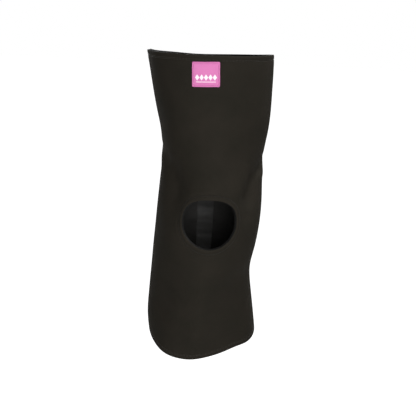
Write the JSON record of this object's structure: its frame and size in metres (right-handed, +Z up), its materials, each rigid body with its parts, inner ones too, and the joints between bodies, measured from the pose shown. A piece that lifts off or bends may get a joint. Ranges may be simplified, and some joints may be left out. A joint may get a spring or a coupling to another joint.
{
  "type": "knee sleeve",
  "caption": "Pull-on foam-rubber knee sleeve covered in dark jersey, open over the kneecap, stitched hems, woven label, bending at the knee.",
  "frame": {"origin": "centre of the knee joint, on the axis that the sleeve bends about", "axes": "+Z up the thigh, -Y the front of the knee, +X to the right seen from the front; the shin leans back as it goes down"},
  "size_m": [0.1258, 0.1576, 0.3172],
  "materials": {
    "outer_jersey": "matte",
    "inner_jersey": "matte",
    "foam": "matte",
    "seam_tape": "satin",
    "thread": "satin",
    "label": "satin",
    "label_thread": "satin"
  },
  "bodies": {
    "thigh_section": {"thigh_outer_jersey": "outer_jersey", "thigh_foam": "foam", "thigh_inner_jersey": "inner_jersey", "thigh_back_seam_stitching": "thread", "thigh_seam_tape": "seam_tape", "top_hem_stitching": "thread", "label": "label", "label_stitching": "label_thread", "knee_outer_jersey": "outer_jersey", "knee_foam": "foam", "knee_inner_jersey": "inner_jersey", "knee_back_seam_stitching": "thread", "knee_seam_tape": "seam_tape", "kneecap_edge_stitching": "thread"},
    "calf_section": {"calf_outer_jersey": "outer_jersey", "calf_foam": "foam", "calf_inner_jersey": "inner_jersey", "calf_back_seam_stitching": "thread", "calf_seam_tape": "seam_tape", "bottom_hem_stitching": "thread"}
  },
  "joints": [
    {"name": "knee_flexion", "type": "hinge", "parent": "thigh_section", "child": "calf_section", "pos_m": [0, 0, 0], "axis": [1, 0, 0], "range_deg": [-17.5, 72.5], "stiffness_Nm_per_rad": 0.6, "deforming": ["knee_outer_jersey", "knee_foam", "knee_inner_jersey", "knee_back_seam_stitching", "knee_seam_tape", "kneecap_edge_stitching"]}
  ]
}
